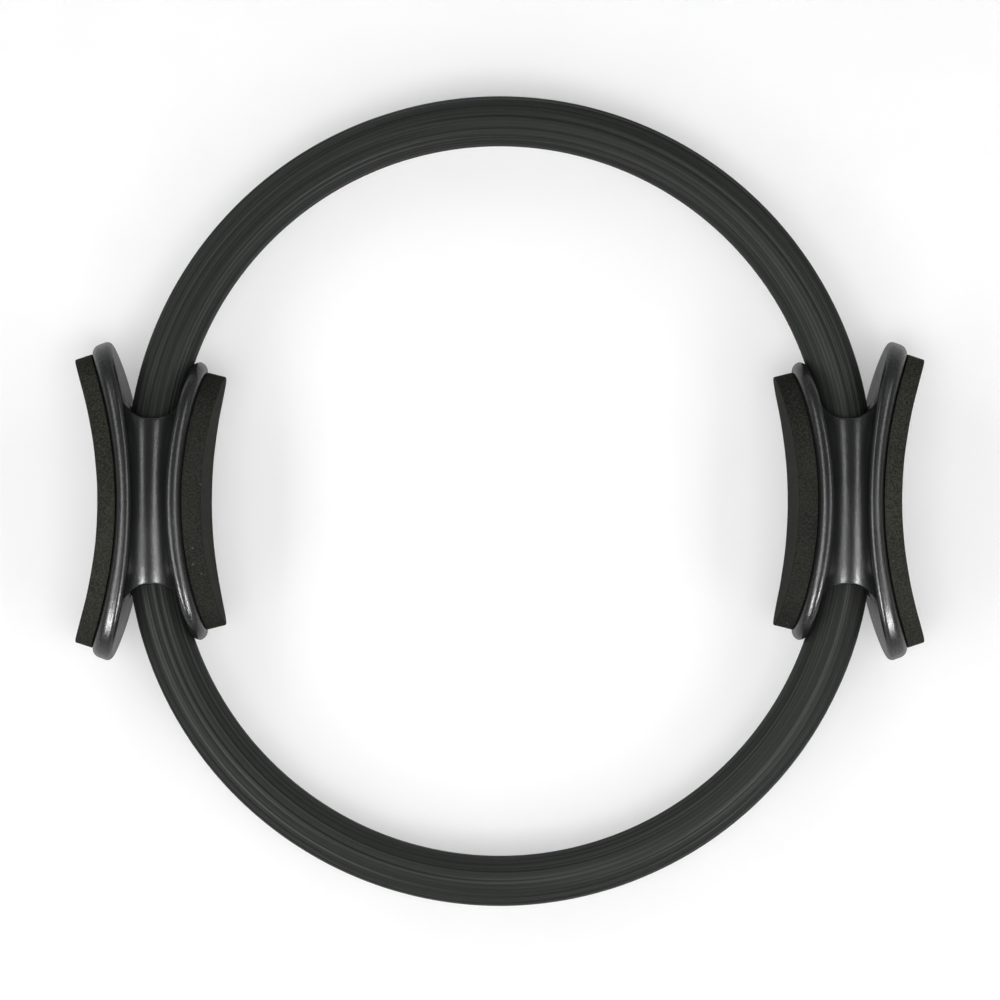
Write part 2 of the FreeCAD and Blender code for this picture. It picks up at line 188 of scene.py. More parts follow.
def foam_cells():
    """The group for closed cell foam: cell height, broad tone and small pale specks."""
    name = "Foam Cells"
    made = shader_group(
        name,
        [
            ("Vector", "NodeSocketVector"),
            ("Cell Scale", "NodeSocketFloat"),
            ("Speck Share", "NodeSocketFloat"),
        ],
        [("Height", "NodeSocketFloat"), ("Tone", "NodeSocketFloat"), ("Specks", "NodeSocketFloat")],
    )
    if made:
        graph, given, result = made
        cells = graph.add("ShaderNodeTexVoronoi", {"Vector": given["Vector"], "Scale": given["Cell Scale"]})
        fine = graph.noise(given["Vector"], graph.math("MULTIPLY", given["Cell Scale"], 1.7), 3.0, 0.6)
        height = graph.math("ADD", graph.math("MULTIPLY", cells.outputs["Distance"], 0.5), fine)
        broad = graph.noise(given["Vector"], graph.math("MULTIPLY", given["Cell Scale"], 0.05), 3.0, 0.55)
        tone = graph.math("ADD", graph.math("MULTIPLY", broad, 0.2), graph.math("MULTIPLY", fine, 0.8))
        speck_scale = graph.math("MULTIPLY", given["Cell Scale"], 0.33)
        dots = graph.add("ShaderNodeTexVoronoi", {"Vector": given["Vector"], "Scale": speck_scale})
        near = graph.spread(dots.outputs["Distance"], 0.16, 0.05)
        chance = graph.add("ShaderNodeSeparateColor", {0: dots.outputs["Color"]}).outputs[0]
        chosen = graph.math("LESS_THAN", chance, given["Speck Share"])
        graph.tree.links.new(height, result["Height"])
        graph.tree.links.new(tone, result["Tone"])
        graph.tree.links.new(graph.math("MULTIPLY", near, chosen), result["Specks"])
    return bpy.data.node_groups[name]


def moulded_skin():
    """The group for moulded plastic: a fine spark texture and slow flow marks."""
    name = "Moulded Skin"
    made = shader_group(
        name,
        [("Vector", "NodeSocketVector"), ("Grain Scale", "NodeSocketFloat")],
        [("Height", "NodeSocketFloat"), ("Flow", "NodeSocketFloat")],
    )
    if made:
        graph, given, result = made
        grain = graph.noise(given["Vector"], given["Grain Scale"], 2.0, 0.6)
        flow = graph.noise(given["Vector"], graph.math("MULTIPLY", given["Grain Scale"], 0.03), 3.0, 0.5)
        graph.tree.links.new(grain, result["Height"])
        graph.tree.links.new(flow, result["Flow"])
    return bpy.data.node_groups[name]


def new_material(name):
    """A material with a Principled shader, and its graph, shader and object coordinates."""
    material = bpy.data.materials.new(name)
    material.use_nodes = True
    material.node_tree.nodes.clear()
    graph = Graph(material.node_tree)
    shader = graph.add("ShaderNodeBsdfPrincipled")
    graph.add("ShaderNodeOutputMaterial", {"Surface": shader.outputs[0]})
    place = graph.add("ShaderNodeTexCoord").outputs["Object"]
    return material, graph, shader, place


def plug(graph, shader, **sources):
    """Links sockets to a shader's inputs, named with underscores for spaces."""
    for key, source in sources.items():
        graph.tree.links.new(source, shader.inputs[key.replace("_", " ")])


def bump(graph, height, distance):
    """A normal bumped by a height, in metres at a height of one."""
    return graph.add("ShaderNodeBump", {"Height": height, "Distance": distance, "Strength": 1.0}).outputs[0]


def handle_material(settings):
    """Glossy black plastic with a faint mould line at mid length."""
    material, graph, shader, place = new_material("handle_gloss_black")
    skin = graph.add("ShaderNodeGroup", node_tree=moulded_skin())
    graph.tree.links.new(place, skin.inputs["Vector"])
    skin.inputs["Grain Scale"].default_value = settings.grain_scale
    along = graph.add("ShaderNodeSeparateXYZ", {0: place}).outputs["Y"]
    line = graph.spread(graph.math("ABSOLUTE", along), settings.mould_line, settings.mould_line * 0.3)
    grain = graph.math("MULTIPLY", skin.outputs["Height"], settings.grain_depth / settings.line_height)
    height = graph.math("ADD", grain, line)
    flow = skin.outputs["Flow"]
    colour = graph.tint(flow, shade(settings.colour, 1.0), shade(settings.colour, 1.25))
    rough = graph.spread(flow, *NOISE_SPAN, settings.roughness - 0.02, settings.roughness + 0.02)
    plug(graph, shader, Base_Color=colour, Roughness=rough, Normal=bump(graph, height, settings.line_height))
    glance = graph.add("ShaderNodeLayerWeight", {"Blend": 0.5}).outputs["Facing"]
    sheen = graph.spread(glance, settings.sheen_start, settings.sheen_end, 0.5, settings.sheen_left)
    speckle = graph.spread(skin.outputs["Height"], 0.35, 0.65, 1 - settings.speckle, 1 + settings.speckle)
    graph.tree.links.new(graph.math("MULTIPLY", sheen, speckle), shader.inputs["Specular IOR Level"])
    shader.inputs["IOR"].default_value = 1.5
    return material


def pad_material(name, settings, colour):
    """Die cut foam sheet with a fine cell pattern and small pale specks."""
    material, graph, shader, place = new_material(name)
    foam = graph.add("ShaderNodeGroup", node_tree=foam_cells())
    graph.tree.links.new(place, foam.inputs["Vector"])
    foam.inputs["Cell Scale"].default_value = settings.cell_scale
    foam.inputs["Speck Share"].default_value = settings.speck_share
    tone = graph.spread(foam.outputs["Tone"], 0.35, 0.65)
    plain = graph.tint(tone, shade(colour, 0.45), shade(colour, 1.6))
    specks = graph.math("MULTIPLY", foam.outputs["Specks"], SPECK_COVER)
    speckled = graph.tint(specks, plain, shade(settings.speck_colour, 1.0))
    rough = graph.spread(foam.outputs["Tone"], 0.2, 0.8, 0.82, 0.95)
    normal = bump(graph, foam.outputs["Height"], settings.cell_depth)
    plug(graph, shader, Base_Color=speckled, Roughness=rough, Normal=normal)
    shader.inputs["Specular IOR Level"].default_value = settings.gleam
    return material


def sleeve_material(settings):
    """Extruded foam skin, whose tone follows its ribs."""
    material, graph, shader, place = new_material("sleeve_foam")
    lie = graph.add("ShaderNodeAttribute", attribute_name="lie").outputs["Vector"]
    rib = graph.add("ShaderNodeAttribute", attribute_name="rib").outputs["Fac"]
    parts = graph.add("ShaderNodeSeparateXYZ", {0: lie}).outputs
    drawn = graph.vector(parts["X"], parts["Y"], graph.math("MULTIPLY", parts["Z"], settings.line_drift))
    lines = graph.noise(drawn, settings.rib_scale * LINES_PER_RIB, 2.0, 0.6)
    foam = graph.add("ShaderNodeGroup", node_tree=foam_cells())
    graph.tree.links.new(place, foam.inputs["Vector"])
    foam.inputs["Cell Scale"].default_value = settings.cell_scale
    mixed = graph.math("ADD", graph.math("MULTIPLY", rib, 0.18), graph.math("MULTIPLY", lines, 0.6))
    mixed = graph.math("ADD", mixed, graph.math("MULTIPLY", foam.outputs["Tone"], 0.4))
    tone = graph.spread(mixed, 0.2, 0.8)
    colour = graph.tint(tone, shade(settings.colour, 0.72), shade(settings.colour, 1.3))
    rough = graph.spread(lines, *NOISE_SPAN, settings.roughness - 0.06, settings.roughness + 0.06)
    cells = graph.math("MULTIPLY", foam.outputs["Height"], 0.4)
    height = graph.math("ADD", graph.math("MULTIPLY", lines, 0.6), cells)
    plug(graph, shader, Base_Color=colour, Roughness=rough, Normal=bump(graph, height, settings.skin_depth))
    gleam = graph.spread(lines, 0.45, 0.7, settings.low_gleam, settings.high_gleam)
    graph.tree.links.new(gleam, shader.inputs["Specular IOR Level"])
    return material


def band_material(settings):
    """Pale glass fibre strip with lengthwise strands."""
    material, graph, shader, place = new_material("band_glass_fibre")
    parts = graph.add("ShaderNodeSeparateXYZ", {0: place}).outputs
    strands = graph.noise(graph.vector(0.0, 0.0, parts["Z"]), STRANDS_PER_METRE, 3.0, 0.6)
    cloud = graph.noise(place, CLOUDS_PER_METRE, 3.0, 0.5)
    tone = graph.math("ADD", graph.math("MULTIPLY", strands, 0.6), graph.math("MULTIPLY", cloud, 0.4))
    patchy = graph.spread(tone, *NOISE_SPAN)
    colour = graph.tint(patchy, shade(settings.colour, 0.75), shade(settings.colour, 1.1))
    rough = graph.spread(cloud, *NOISE_SPAN, 0.4, 0.55)
    plug(graph, shader, Base_Color=colour, Roughness=rough, Normal=bump(graph, strands, STRAND_DEPTH))
    return material


def spacer_material(settings):
    """Pale matt plastic."""
    material, graph, shader, place = new_material("spacer_matt_plastic")
    skin = graph.add("ShaderNodeGroup", node_tree=moulded_skin())
    graph.tree.links.new(place, skin.inputs["Vector"])
    skin.inputs["Grain Scale"].default_value = SPACER_GRAIN_PER_METRE
    flow = skin.outputs["Flow"]
    colour = graph.tint(flow, shade(settings.spacer_colour, 0.85), shade(settings.spacer_colour, 1.1))
    rough = graph.spread(flow, *NOISE_SPAN, 0.55, 0.7)
    normal = bump(graph, skin.outputs["Height"], SPACER_GRAIN_DEPTH)
    plug(graph, shader, Base_Color=colour, Roughness=rough, Normal=normal)
    return material


def screw_material(settings):
    """Turned steel with fine rings along the shank."""
    material, graph, shader, place = new_material("screw_steel")
    parts = graph.add("ShaderNodeSeparateXYZ", {0: place}).outputs
    rings = graph.noise(graph.vector(parts["X"], 0.0, 0.0), LATHE_RINGS_PER_METRE, 2.0, 0.6)
    stain = graph.spread(graph.noise(place, STAINS_PER_METRE, 3.0, 0.6), *NOISE_SPAN)
    colour = graph.tint(stain, shade(settings.screw_colour, 0.8), shade(settings.screw_colour, 1.0))
    rough = graph.spread(rings, *NOISE_SPAN, 0.28, 0.42)
    plug(graph, shader, Base_Color=colour, Roughness=rough, Normal=bump(graph, rings, LATHE_RING_DEPTH))
    shader.inputs["Metallic"].default_value = 1.0
    return material


def floor_material(settings):
    """A white floor, bright where the camera and reflections see it, that keeps the object's shadow."""
    material = bpy.data.materials.new("floor_white")
    material.use_nodes = True
    material.node_tree.nodes.clear()
    graph = Graph(material.node_tree)
    path = graph.add("ShaderNodeLightPath").outputs
    seen = graph.math("MAXIMUM", path["Is Camera Ray"], path["Is Glossy Ray"])
    seen = graph.math("MAXIMUM", seen, path["Is Transmission Ray"])
    place = graph.add("ShaderNodeTexCoord").outputs["Object"]
    paper = graph.spread(graph.noise(place, PAPER_MARKS_PER_METRE, 3.0, 0.5), 0.2, 0.8)
    white = graph.tint(paper, [0.83, 0.83, 0.83, 1], [0.85, 0.85, 0.85, 1])
    matt = graph.add("ShaderNodeBsdfDiffuse", {"Color": white})
    glow = graph.add("ShaderNodeEmission", {"Color": [1, 1, 1, 1], "Strength": settings.floor_glow})
    share = graph.math("MULTIPLY", seen, settings.floor_share)
    mixed = graph.add("ShaderNodeMixShader", {0: share, 1: matt.outputs[0], 2: glow.outputs[0]})
    graph.add("ShaderNodeOutputMaterial", {"Surface": mixed.outputs[0]})
    return material


def sleeve_tree():
    """The node tree that sweeps a foam tube with lengthwise ribs along an arc."""
    number, whole = "NodeSocketFloat", "NodeSocketInt"
    graph, given, result = new_group(
        "Ribbed Sleeve",
        "GeometryNodeTree",
        [
            ("Geometry", "NodeSocketGeometry"),
            ("Arc Radius", number),
            ("Arc Centre", number),
            ("Start", number),
            ("Sweep", number),
            ("Tube Radius", number),
            ("Bore Radius", number),
            ("Steps Along", whole),
            ("Steps Around", whole),
            ("Rib Depth", number),
            ("Rib Scale", number),
            ("Material", "NodeSocketMaterial"),
        ],
        [("Geometry", "NodeSocketGeometry")],
    )
    steps = given["Steps Along"]
    rows = graph.math("ADD", graph.math("MULTIPLY", steps, 2.0), 3.0)
    columns = graph.math("ADD", given["Steps Around"], 1.0)
    square = {"Size X": 1.0, "Size Y": 1.0, "Vertices X": rows, "Vertices Y": columns}
    grid = graph.add("GeometryNodeMeshGrid", square)
    spot = graph.add("ShaderNodeSeparateXYZ", {0: graph.add("GeometryNodeInputPosition").outputs[0]}).outputs
    row = graph.math("MULTIPLY", graph.math("ADD", spot["X"], 0.5), graph.math("SUBTRACT", rows, 1.0))
    around = graph.math("MULTIPLY", graph.math("ADD", spot["Y"], 0.5), math.tau)
    past = graph.math("SUBTRACT", row, steps)
    out_leg = graph.math("DIVIDE", row, steps, clamp=True)
    back_leg = graph.math("DIVIDE", graph.math("SUBTRACT", past, 1.0), steps, clamp=True)
    along = graph.math("SUBTRACT", out_leg, back_leg)
    inside = graph.math("ADD", past, 0.0, clamp=True)
    closing = graph.math("SUBTRACT", graph.math("SUBTRACT", past, steps), 1.0, clamp=True)
    inner = graph.math("SUBTRACT", inside, closing)
    angle = graph.math("ADD", given["Start"], graph.math("MULTIPLY", along, given["Sweep"]))
    cosine, sine = graph.math("COSINE", around), graph.math("SINE", around)
    turn = graph.vector(cosine, sine, graph.math("MULTIPLY", angle, RIB_DRIFT))
    fine = graph.spread(graph.noise(turn, given["Rib Scale"], 1.0, 0.5), *NOISE_SPAN, -1.0, 1.0)
    calm_turn = graph.vector(cosine, sine, CALM_SPOT)
    calm = graph.spread(graph.noise(calm_turn, CALM_SCALE, 0.0), 0.38, 0.56, 0.15, 1.0)
    rib = graph.math("MULTIPLY", fine, calm)
    raised = graph.math("ADD", given["Tube Radius"], graph.math("MULTIPLY", rib, given["Rib Depth"]))
    radius = graph.add("ShaderNodeMix", {0: inner, 2: raised, 3: given["Bore Radius"]}).outputs[0]
    reach = graph.math("ADD", given["Arc Radius"], graph.math("MULTIPLY", radius, cosine))
    x = graph.math("MULTIPLY", reach, graph.math("COSINE", angle))
    y = graph.math("ADD", given["Arc Centre"], graph.math("MULTIPLY", reach, graph.math("SINE", angle)))
    place = graph.vector(x, y, graph.math("MULTIPLY", radius, sine))
    lie = graph.vector(cosine, sine, angle)
    ribbed = graph.add("GeometryNodeStoreNamedAttribute", {0: grid.outputs[0], "Name": "rib", "Value": rib})
    laid = graph.add(
        "GeometryNodeStoreNamedAttribute",
        {0: ribbed.outputs[0], "Name": "lie", "Value": lie},
        data_type="FLOAT_VECTOR",
    )
    bent = graph.add("GeometryNodeSetPosition", {0: laid.outputs[0], "Position": place})
    closed = graph.add("GeometryNodeMergeByDistance", {0: bent.outputs[0], "Distance": WELD_DISTANCE})
    soft = graph.add("GeometryNodeSetShadeSmooth", {0: closed.outputs[0], "Shade Smooth": True})
    fold = graph.add("GeometryNodeInputMeshEdgeAngle").outputs[0]
    corners = graph.math("GREATER_THAN", fold, CRISP_FOLD)
    inputs = {0: soft.outputs[0], "Selection": corners, "Shade Smooth": False}
    crisp = graph.add("GeometryNodeSetShadeSmooth", inputs, domain="EDGE")
    real = graph.add("GeometryNodeRealizeInstances", {0: crisp.outputs[0]})
    clad = graph.add("GeometryNodeSetMaterial", {0: real.outputs[0], "Material": given["Material"]})
    graph.tree.links.new(clad.outputs[0], result["Geometry"])
    return graph.tree


def band_tree():
    """The node tree that lays two flat strips along a path, one on each side of it."""
    number = "NodeSocketFloat"
    graph, given, result = new_group(
        "Flat Springs",
        "GeometryNodeTree",
        [("Geometry", "NodeSocketGeometry"), ("Thickness", number), ("Width", number), ("Offset", number),
         ("Material", "NodeSocketMaterial")],
        [("Geometry", "NodeSocketGeometry")],
    )
    level = graph.add("GeometryNodeSetCurveNormal", {0: given["Geometry"]}, mode="Z_UP")
    out = graph.add("GeometryNodeInputNormal").outputs[0]
    sizes = {"Width": given["Thickness"], "Height": given["Width"]}
    section = graph.add("GeometryNodeCurvePrimitiveQuadrilateral", sizes)
    joined = graph.add("GeometryNodeJoinGeometry")
    for side in (1.0, -1.0):
        share = graph.math("MULTIPLY", given["Offset"], side)
        shift = graph.add("ShaderNodeVectorMath", {0: out, "Scale": share}, operation="SCALE").outputs[0]
        moved = graph.add("GeometryNodeSetPosition", {0: level.outputs[0], "Offset": shift})
        inputs = {"Curve": moved.outputs[0], "Profile Curve": section.outputs[0], "Fill Caps": True}
        strip = graph.add("GeometryNodeCurveToMesh", inputs)
        graph.tree.links.new(strip.outputs[0], joined.inputs[0])
    flat = graph.add("GeometryNodeSetShadeSmooth", {0: joined.outputs[0], "Shade Smooth": False})
    real = graph.add("GeometryNodeRealizeInstances", {0: flat.outputs[0]})
    clad = graph.add("GeometryNodeSetMaterial", {0: real.outputs[0], "Material": given["Material"]})
    graph.tree.links.new(clad.outputs[0], result["Geometry"])
    return graph.tree


def grow(source, name, tree, values):
    """A plain mesh object made by a node tree from source data, with the tree's inputs set by name."""
    host = bpy.data.objects.new(name + "_source", source)
    bpy.context.scene.collection.objects.link(host)
    modifier = host.modifiers.new("Grow", "NODES")
    modifier.node_group = tree
    for item in tree.interface.items_tree:
        if item.in_out == "INPUT" and item.name in values:
            modifier[item.identifier] = values[item.name]
    depsgraph = bpy.context.evaluated_depsgraph_get()
    grown = host.evaluated_get(depsgraph)
    mesh = bpy.data.meshes.new_from_object(grown, preserve_all_data_layers=True, depsgraph=depsgraph)
    host.modifiers.clear()
    bpy.data.objects.remove(host)
    mesh.name = name
    return add_piece(name, mesh)


def add_piece(name, mesh):
    """A mesh object in the scene, its faces turned outwards."""
    face_out(mesh)
    piece = bpy.data.objects.new(name, mesh)
    bpy.context.scene.collection.objects.link(piece)
    return piece


def face_out(mesh):
    """Turns a closed mesh's faces outwards."""
    shell = bmesh.new()
    shell.from_mesh(mesh)
    bmesh.ops.recalc_face_normals(shell, faces=shell.faces)
    if shell.calc_volume(signed=True) < 0:
        bmesh.ops.reverse_faces(shell, faces=shell.faces)
    shell.to_mesh(mesh)
    shell.free()


def pad_mesh(name, settings, side, axis, face, thickness, half_length, half_height):
    """A die cut oval slab on a curved plate; axis is where the plate's curve is centred along X."""
    outward = 1 if axis < 0 else -1
    glued = face - settings.glue
    free_radius = glued - thickness
    soft, crisp = settings.free_edge, settings.glued_edge
    face_steps, corner_steps = settings.face_steps, settings.corner_steps
    rings = [(soft, step / face_steps, free_radius) for step in range(1, face_steps + 1)]
    for step in range(1, corner_steps + 1):
        turn = step / corner_steps * math.pi / 2
        rings.append((soft * (1 - math.sin(turn)), 1.0, free_radius + soft * (1 - math.cos(turn))))
    for step in range(1, WALL_STEPS):
        rings.append((0.0, 1.0, free_radius + soft + (thickness - soft - crisp) * step / WALL_STEPS))
    for step in range(corner_steps):
        turn = step / corner_steps * math.pi / 2
        rings.append((crisp * (1 - math.cos(turn)), 1.0, glued - crisp * (1 - math.sin(turn))))
    for step in range(face_steps, 0, -1):
        rings.append((crisp, step / face_steps, glued))
    around = settings.around
    turns = [column / around * math.tau for column in range(around)]
    end = math.sqrt(face ** 2 - half_length ** 2)

    def point(inset, share, turn, radius):
        along = 0.0
        for _pass in range(SETTLE_PASSES):
            away = math.sqrt(radius ** 2 - along ** 2)
            stretch = 1 + settings.end_lean * (away / end - 1)
            along = share * (half_length * stretch - inset) * math.cos(turn)
        height = share * (half_height - inset) * math.sin(turn)
        return Vector((axis + outward * math.sqrt(radius ** 2 - along ** 2), along, height))

    shell = bmesh.new()
    front = shell.verts.new(point(soft, 0.0, 0.0, free_radius))
    loops = []
    for inset, share, radius in rings:
        loops.append([shell.verts.new(point(inset, share, turn, radius)) for turn in turns])
    back = shell.verts.new(point(crisp, 0.0, 0.0, glued))
    for column in range(around):
        after = (column + 1) % around
        shell.faces.new((front, loops[0][column], loops[0][after]))
        shell.faces.new((back, loops[-1][after], loops[-1][column]))
        for first, second in zip(loops, loops[1:]):
            shell.faces.new((first[column], second[column], second[after], first[after]))
    shell.normal_update()
    for vert in shell.verts:
        sway = noise.noise(vert.co * settings.sway_scale + Vector((side, 0, axis)))
        vert.co -= vert.normal * settings.sway * (0.5 + 0.5 * sway)
    for vert in shell.verts:
        vert.co.x *= side
    mesh = bpy.data.meshes.new(name)
    shell.to_mesh(mesh)
    shell.free()
    for polygon in mesh.polygons:
        polygon.use_smooth = True
    return mesh


class HandleSettings(bpy.types.PropertyGroup):
    """How the moulded handles look."""

    colour: FloatVectorProperty(
        name="Colour", description="Plastic colour", subtype="COLOR",
        default=linear(22, 23, 23), min=0, max=1)
    roughness: FloatProperty(
        name="Roughness", description="How blurred the highlights are", default=0.25, min=0, max=1)
    grain_scale: FloatProperty(name="Grain Scale", description="Grain marks per metre", default=1400.0)
    grain_depth: FloatProperty(
        name="Grain Depth", description="Height of the grain", default=0.00005, unit="LENGTH", precision=5)
    speckle: FloatProperty(name="Speckle", description="How uneven the gleam is", default=0.3, min=0, max=1)
    sheen_start: FloatProperty(
        name="Sheen Start", description="Glancing share at which the skin starts to lose its sheen",
        default=0.6)
    sheen_end: FloatProperty(
        name="Sheen End", description="Glancing share at which the skin has lost its sheen", default=0.88)
    sheen_left: FloatProperty(
        name="Sheen Left", description="Sheen that is left at a glancing angle", default=0.02)
    mould_line: FloatProperty(
        name="Mould Line", description="Half width of the mould line",
        default=0.00022, unit="LENGTH", precision=5)
    line_height: FloatProperty(
        name="Line Height", description="Height of the mould line",
        default=0.00001, unit="LENGTH", precision=5)


class PadSettings(bpy.types.PropertyGroup):
    """The foam pads' shape and look."""

    outer_axis: FloatProperty(
        name="Outer Axis", description="Where the outer plate's curve is centred",
        default=0.3288, unit="LENGTH")
    inner_axis: FloatProperty(
        name="Inner Axis", description="Where the inner plate's curve is centred",
        default=-0.0434, unit="LENGTH")
    outer_face: FloatProperty(
        name="Outer Face", description="Radius of the outer plate's face", default=0.163, unit="LENGTH")
    inner_face: FloatProperty(
        name="Inner Face", description="Radius of the inner plate's face", default=0.181, unit="LENGTH")
    outer_half_length: FloatProperty(
        name="Outer Half Length", description="Half the outer pad's length on the plate",
        default=0.0647, unit="LENGTH")
    inner_half_length: FloatProperty(
        name="Inner Half Length", description="Half the inner pad's length on the plate",
        default=0.0565, unit="LENGTH")
    end_lean: FloatProperty(
        name="End Lean", description="How far the ends follow the plate's radius", default=0.77, min=0, max=1)
    glue: FloatProperty(
        name="Glue", description="Thickness of the glue line", default=0.00015, unit="LENGTH", precision=5)
    outer_thickness: FloatProperty(
        name="Outer Thickness", description="Thickness of the outer foam",
        default=0.0078, unit="LENGTH", precision=4)
    inner_thickness: FloatProperty(
        name="Inner Thickness", description="Thickness of the inner foam",
        default=0.0083, unit="LENGTH", precision=4)
    free_edge: FloatProperty(
        name="Free Edge", description="Rounding of the free edge", default=0.0006, unit="LENGTH", precision=4)
    glued_edge: FloatProperty(
        name="Glued Edge", description="Rounding of the glued edge",
        default=0.0003, unit="LENGTH", precision=4)
    sway: FloatProperty(
        name="Sway", description="How uneven the foam is", default=0.00015, unit="LENGTH", precision=5)
    sway_scale: FloatProperty(name="Sway Scale", description="Uneven spots per metre", default=90.0)
    around: IntProperty(name="Around", description="Points round the oval", default=192, min=24)
    face_steps: IntProperty(name="Face Steps", description="Rings across a face", default=20, min=2)
    corner_steps: IntProperty(name="Corner Steps", description="Rings round an edge", default=4, min=1)
    colour: FloatVectorProperty(
        name="Colour", description="Foam colour", subtype="COLOR", default=linear(42, 43, 37), min=0, max=1)
    # Painted shade: the inner pads' colour is a darker copy of the pad foam's colour, not a different foam.
    shaded_inner_colour: FloatVectorProperty(
        name="Inner Colour", description="Inner foam colour", subtype="COLOR",
        default=linear(36, 36, 32), min=0, max=1)
    speck_colour: FloatVectorProperty(
        name="Speck Colour", description="Colour of the specks", subtype="COLOR",
        default=linear(105, 105, 98))
    cell_scale: FloatProperty(name="Cell Scale", description="Foam cells per metre", default=750.0)
    cell_depth: FloatProperty(
        name="Cell Depth", description="Depth of the foam cells", default=0.00012, unit="LENGTH", precision=5)
    speck_share: FloatProperty(
        name="Speck Share", description="Share of places with a speck", default=0.16, min=0, max=1)
    gleam: FloatProperty(name="Gleam", description="How much the foam gleams", default=0.045, min=0, max=1)


class SleeveSettings(bpy.types.PropertyGroup):
    """The foam sleeves' shape and look."""

    bore: FloatProperty(
        name="Bore", description="Radius of the bore", default=0.007, unit="LENGTH", precision=4)
    rib_depth: FloatProperty(
        name="Rib Depth", description="Height of the ribs", default=0.0002, unit="LENGTH", precision=5)
    rib_scale: FloatProperty(name="Rib Scale", description="How closely the ribs are set", default=6.5)
    steps_along: IntProperty(name="Steps Along", description="Divisions along a quarter", default=80, min=8)
    steps_around: IntProperty(
        name="Steps Around", description="Divisions round the tube", default=240, min=24)
    colour: FloatVectorProperty(
        name="Colour", description="Foam colour", subtype="COLOR", default=linear(44, 46, 44), min=0, max=1)
    roughness: FloatProperty(
        name="Roughness", description="How matt the foam's skin is", default=0.5, min=0, max=1)
    line_drift: FloatProperty(name="Line Drift", description="How soon the drawn lines change", default=0.05)
    low_gleam: FloatProperty(
        name="Low Gleam", description="Gleam between the drawn lines", default=0.02, min=0, max=1)
    high_gleam: FloatProperty(
        name="High Gleam", description="Gleam of the drawn lines", default=0.12, min=0, max=1)
    cell_scale: FloatProperty(name="Cell Scale", description="Foam cells per metre", default=2600.0)
    skin_depth: FloatProperty(
        name="Skin Depth", description="Depth of the drawn skin", default=0.00016, unit="LENGTH", precision=5)


class BandSettings(bpy.types.PropertyGroup):
    """The glass fibre springs inside the sleeves."""

    thickness: FloatProperty(
        name="Thickness", description="Thickness of a strip",
        default=BAND_THICKNESS, unit="LENGTH", precision=4)
    width: FloatProperty(
        name="Width", description="Width of a strip",
        default=BAND_HIGH.z - BAND_LOW.z, unit="LENGTH", precision=4)
    steps: IntProperty(name="Steps", description="Points along a quarter", default=72, min=8)
    colour: FloatVectorProperty(
        name="Colour", description="Resin and fibre colour", subtype="COLOR",
        default=linear(205, 203, 184), min=0, max=1)


class ClampSettings(bpy.types.PropertyGroup):
    """The spacers and screws that clamp the springs."""

    spacer_colour: FloatVectorProperty(
        name="Spacer Colour", description="Plastic colour", subtype="COLOR",
        default=linear(190, 190, 184), min=0, max=1)
    screw_colour: FloatVectorProperty(
        name="Screw Colour", description="Steel colour", subtype="COLOR",
        default=linear(178, 176, 172), min=0, max=1)


class StageSettings(bpy.types.PropertyGroup):
    """The floor, lamps and camera."""

    camera_place: FloatVectorProperty(
        name="Camera Place", description="Where the camera is", subtype="XYZ", unit="LENGTH",
        default=(0.0001, 0.00047, 1.529))
    lens: FloatProperty(name="Lens", description="Focal length in millimetres", default=125.1, min=10)
    floor_reach: FloatProperty(
        name="Floor Reach", description="Radius of the flat floor", default=5.0, unit="LENGTH")
    floor_glow: FloatProperty(name="Floor Glow", description="How brightly the floor is seen", default=1.9)
    floor_share: FloatProperty(
        name="Floor Share", description="How much of the floor glows", default=0.15, min=0, max=1)
    strip_power: FloatProperty(
        name="Strip Power", description="Power of a side strip", default=9.0, unit="POWER")
    key_power: FloatProperty(
        name="Key Power", description="Power of the matt overhead light", default=10.0, unit="POWER")
    gleam_power: FloatProperty(
        name="Gleam Power", description="Power of a front lamp that only shows in highlights",
        default=90.0, unit="POWER")
    back_power: FloatProperty(
        name="Back Power", description="Power of a back lamp that only shows in highlights",
        default=4.5, unit="POWER")
    fill: FloatProperty(name="Fill", description="Strength of the room's light", default=0.25)


class RING_OT_handles(bpy.types.Operator):
    """Gives the two moulded handles their plastic"""

    bl_idname = "ring.dress_handles"
    bl_label = "Dress Handles"

    def execute(self, context):
        material = handle_material(context.scene.ring_handles)
        for side in SIDES:
            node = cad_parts[side + "_handle"]
            node.data.materials.clear()
            node.data.materials.append(material)
        return {"FINISHED"}


class RING_OT_pads(bpy.types.Operator):
    """Makes the four foam pads"""

    bl_idname = "ring.make_pads"
    bl_label = "Make Pads"

    def execute(self, context):
        settings = context.scene.ring_pads
        outer = (
            settings.outer_axis,
            settings.outer_face,
            settings.outer_thickness,
            settings.outer_half_length,
        )
        inner = (
            settings.inner_axis,
            settings.inner_face,
            settings.inner_thickness,
            settings.inner_half_length,
        )
        outer_foam = pad_material("outer_pad_foam", settings, settings.colour)
        # The inner pads get the same foam with the darker colour, which is painted shade.
        shaded_inner_foam = pad_material("inner_pad_shaded_foam", settings, settings.shaded_inner_colour)
        kinds = {
            "outer": (outer, OUTER_PAD_HIGH.z, outer_foam),
            "inner": (inner, INNER_PAD_HIGH.z, shaded_inner_foam),
        }
        for kind, (sizes, half_height, material) in kinds.items():
            for side, across in SIDES.items():
                name = f"{side}_{kind}_pad_foam"
                mesh = pad_mesh(name, settings, across, *sizes, half_height)
                piece = add_piece(name, mesh)
                mesh.materials.append(material)
                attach(piece, side + "_grip")
                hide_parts(f"{side}_{kind}_pad")
        return {"FINISHED"}


